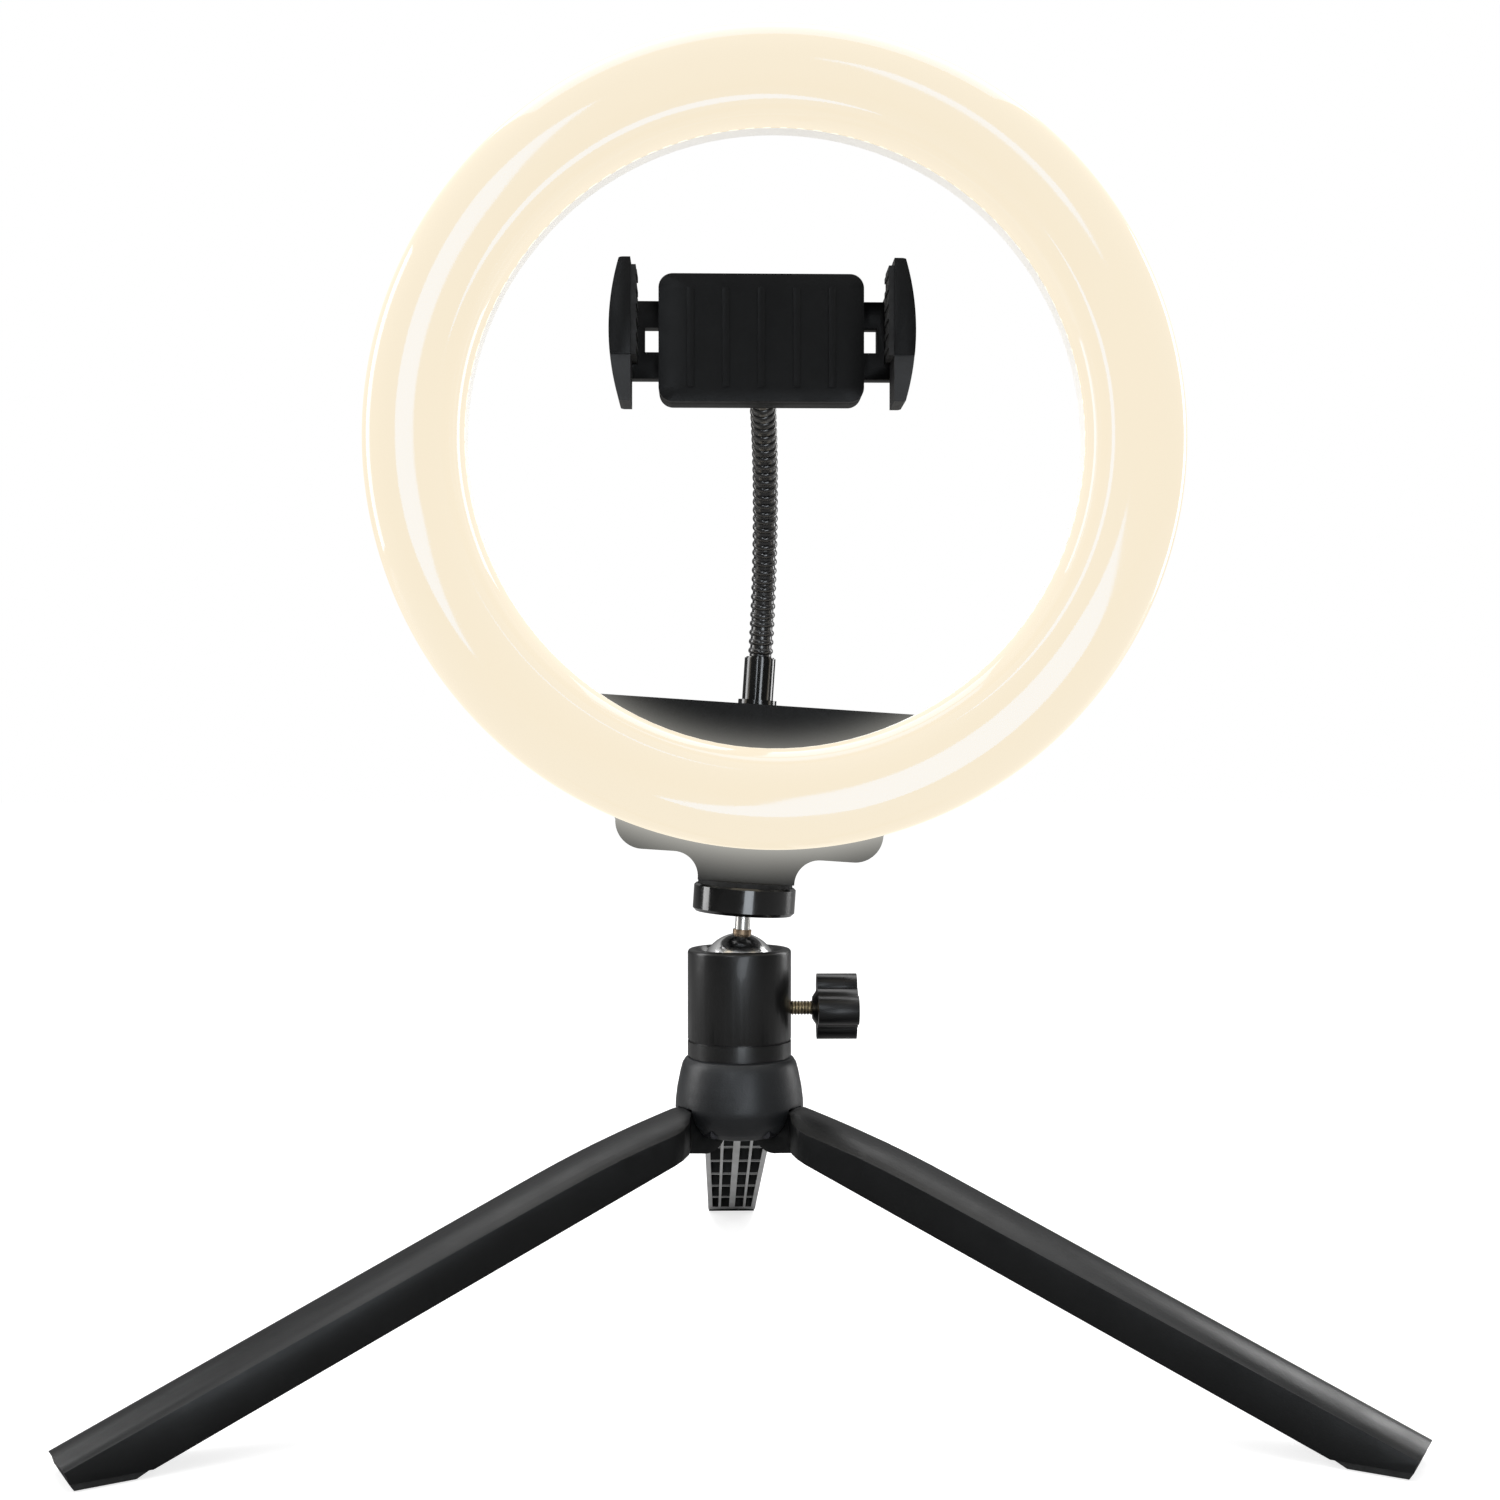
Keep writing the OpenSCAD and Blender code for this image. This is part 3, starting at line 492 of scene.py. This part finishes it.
def make_leg(side, material, rib_material):
    """A leg with a rounded knee, soft edges and a painted highlight, a near-white colour, on the ribs of its
    open underside.
    """
    node = "leg_" + side
    axis = Vector(joints[node + "_fold"]["axis"]).normalized()
    out = Vector((axis.y, -axis.x, 0))
    bm = cad_copy(node)
    round_knee(bm, out, knee_reach)
    run = (out * (under_heel[0] - under_root[0]) + Vector((0, 0, under_heel[1] - under_root[1]))).normalized()
    down = run.cross(axis).normalized()
    if down.z > 0:
        down = -down
    start = Vector((0, hub_y, under_root[1])) + out * under_root[0]
    # painted highlight: faces lying on the underside's plane take the near-white second material
    for face in bm.faces:
        face.normal_update()
        if face.normal.dot(down) > 0.97 and abs((face.calc_center_median() - start).dot(down)) < 0.4 * MM:
            face.material_index = 1
    piece = round_edges(new_piece("soft_" + node, bm, material, node), 0.5, 2, 26)
    piece.data.materials.append(rib_material)
    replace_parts(piece, node)


def make_sleeve(k, points, material):
    """Flexible coil between two lengths of the gooseneck hose, bent to their rest angle; it rides on no body.
    """
    reach = 2.2 * MM
    before = (points[k] - points[k - 1]).normalized()
    after = (points[k + 1] - points[k]).normalized()
    steps, sides = 24, 40
    bm = bmesh.new()
    rows = []
    for i in range(steps + 1):
        t = 2 * i / steps - 1
        along = (before * (1 - t) + after * (1 + t)).normalized()
        at = points[k] + along * (reach * t)
        side = along.cross(Vector((0, 1, 0.2))).normalized()
        up = side.cross(along)
        radius = 3.1 * MM + 0.45 * MM * max(0, math.cos(t * math.pi * 1.2)) ** 0.6
        rows.append([bm.verts.new(at + radius * (side * math.cos(a) + up * math.sin(a)))
                     for a in (2 * math.pi * j / sides for j in range(sides))])
    for row, after_row in zip(rows, rows[1:]):
        for j in range(sides):
            bm.faces.new((row[j], row[(j + 1) % sides], after_row[(j + 1) % sides], after_row[j]))
    bm.faces.new(rows[0])
    bm.faces.new(rows[-1][::-1])
    piece = new_piece(f"hose_coil_{k}", bm, material, None)
    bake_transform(piece)


def make_sleeves(material):
    hinges = [j for j in frame["joints"] if j["child"].startswith("neck_")]
    hinges.sort(key=lambda j: j["child"])
    points = [Vector(j["pos_m"]) for j in hinges]
    lower = points[0] - head_up * 10 * MM
    upper = Vector(joints["holder_pan"]["pos_m"])
    points = [lower] + points + [upper]
    for k in range(1, len(hinges) + 1):
        make_sleeve(k, points, material)


make_diffuser(milky("milky_diffuser"))
for node in ("hub", "hub_cap"):
    soften(node, 0.5, satin_hub)
for side in ("left", "right", "back"):
    make_leg(side, satin_leg, rib_painted_highlight)
make_sleeves(hose_coat)
soften("ballhead_body", 0.5, satin_enamel)
soften("lock_knob", 0.5, knob_black)
for node in ("jaw_left", "jaw_right", "holder_housing", "holder_face", "bracket_rear_shell"):
    soften(node, 0.4, black)

# ---- Stage: floor, lights and camera ----

def make_floor():
    mesh = bpy.data.meshes.new("floor")
    size = 6.0
    corners = [(-size, -size, 0), (size, -size, 0), (size, size, 0), (-size, size, 0)]
    mesh.from_pydata(corners, [], [(0, 1, 2, 3)])
    floor = bpy.data.objects.new("floor", mesh)
    bpy.context.collection.objects.link(floor)
    floor.location.z = -0.0004
    mat, tree, shader = new_material("pale_floor")
    at = local(tree)
    drift = remap(tree, noise(tree, at, 3, 3), 0, 1)
    pale = mix_colour(tree, drift, (0.50, 0.50, 0.50), (0.53, 0.53, 0.53))
    seen = add(tree, "ShaderNodeLightPath").outputs["Is Camera Ray"]
    tree.links.new(mix_colour(tree, seen, (0.25, 0.25, 0.25), pale), shader.inputs["Base Color"])
    shader.inputs["Emission Color"].default_value = (1, 1, 1, 1)
    tree.links.new(math_node(tree, "MULTIPLY", seen, 0.76), shader.inputs["Emission Strength"])
    shader.inputs["Roughness"].default_value = 0.6
    mesh.materials.append(mat)


def area_light(name, at, target, size, power, size_y=None):
    data = bpy.data.lights.new(name, "AREA")
    data.shape = "RECTANGLE"
    data.size = size
    data.size_y = size_y or size
    data.energy = power
    lamp = bpy.data.objects.new(name, data)
    bpy.context.collection.objects.link(lamp)
    lamp.location = at
    lamp.rotation_euler = (Vector(target) - Vector(at)).to_track_quat("-Z", "Y").to_euler()
    return lamp


def make_world():
    """Soft overhead light that fades to a dim horizon, with a pale backdrop for the camera."""
    world = bpy.data.worlds.new("studio")
    bpy.context.scene.world = world
    world.use_nodes = True
    tree = world.node_tree
    light = tree.nodes["Background"]
    light.inputs["Color"].default_value = (1, 1, 1, 1)
    at = add(tree, "ShaderNodeTexCoord").outputs["Generated"]
    parts = add(tree, "ShaderNodeSeparateXYZ")
    tree.links.new(at, parts.inputs[0])
    tree.links.new(remap(tree, parts.outputs["Z"], 0.04, 0.55, 0.0, 0.7), light.inputs["Strength"])
    backdrop = add(tree, "ShaderNodeBackground", in_Color=(1, 1, 1, 1), in_Strength=1.0)
    path = add(tree, "ShaderNodeLightPath")
    both = add(tree, "ShaderNodeMixShader")
    tree.links.new(path.outputs["Is Camera Ray"], both.inputs[0])
    tree.links.new(light.outputs[0], both.inputs[1])
    tree.links.new(backdrop.outputs[0], both.inputs[2])
    tree.links.new(both.outputs[0], tree.nodes["World Output"].inputs["Surface"])


def light_arc(name, centre, first, last, start, end, strength):
    """A curved strip light, seen only in reflections; first and last are its (inner, outer) radii."""
    steps = 48
    verts = []
    for i in range(steps + 1):
        a = math.radians(start + (end - start) * i / steps)
        taper = min(1, 4 * min(i, steps - i) / steps + 0.12)
        r_in, r_out = [a0 + (a1 - a0) * i / steps for a0, a1 in zip(first, last)]
        mid, half = (r_in + r_out) / 2, (r_out - r_in) / 2 * taper
        for r in (mid - half, mid + half):
            verts.append((centre[0] + r * math.cos(a), centre[1], centre[2] + r * math.sin(a)))
    faces = [(2 * i, 2 * i + 1, 2 * i + 3, 2 * i + 2) for i in range(steps)]
    mesh = bpy.data.meshes.new(name)
    mesh.from_pydata(verts, [], faces)
    strip = bpy.data.objects.new(name, mesh)
    bpy.context.collection.objects.link(strip)
    mat = bpy.data.materials.new(name)
    mat.use_nodes = True
    tree = mat.node_tree
    glow = add(tree, "ShaderNodeEmission", in_Color=(0.88, 0.94, 1.0, 1), in_Strength=strength)
    tree.links.new(glow.outputs[0], tree.nodes["Material Output"].inputs["Surface"])
    mesh.materials.append(mat)
    strip.visible_camera = False
    strip.visible_diffuse = False


def make_lights():
    aim = (0, hub_y, 0.15)
    area_light("left_box", (-1.2, hub_y + 0.15, 0.55), aim, 0.45, 7, size_y=1.0)
    area_light("right_box", (1.1, hub_y + 0.6, 0.5), aim, 0.4, 6, size_y=1.0)
    area_light("top_box", (0, hub_y + 0.25, 1.7), aim, 1.8, 26)
    # the ring mirrors each strip as an arc along its crown
    eye = bpy.context.scene.camera.location
    centre = (2 * ring_at.x - eye.x, eye.y, 2 * ring_at.z - eye.z)
    light_arc("strip_left", centre, (0.205, 0.335), (0.205, 0.335), 119, 216, 5.5)
    light_arc("strip_low", centre, (0.25, 0.48), (0.10, 0.24), 252, 347, 5.5)
    light_arc("strip_top", centre, (0.225, 0.255), (0.25, 0.30), 28, 84, 5.5)


def make_camera():
    data = bpy.data.cameras.new("camera")
    data.sensor_width = 36
    data.lens = 47.14
    camera = bpy.data.objects.new("camera", data)
    bpy.context.collection.objects.link(camera)
    distance = 0.636
    camera.location = (-0.011, hub_y - distance, 0.1973)
    down, right = math.radians(0.16), math.radians(1.30)
    camera.rotation_euler = (math.pi / 2 - down, 0, -right)
    bpy.context.scene.camera = camera


make_floor()
make_world()
make_camera()
make_lights()
bpy.context.scene.view_settings.view_transform = "Standard"
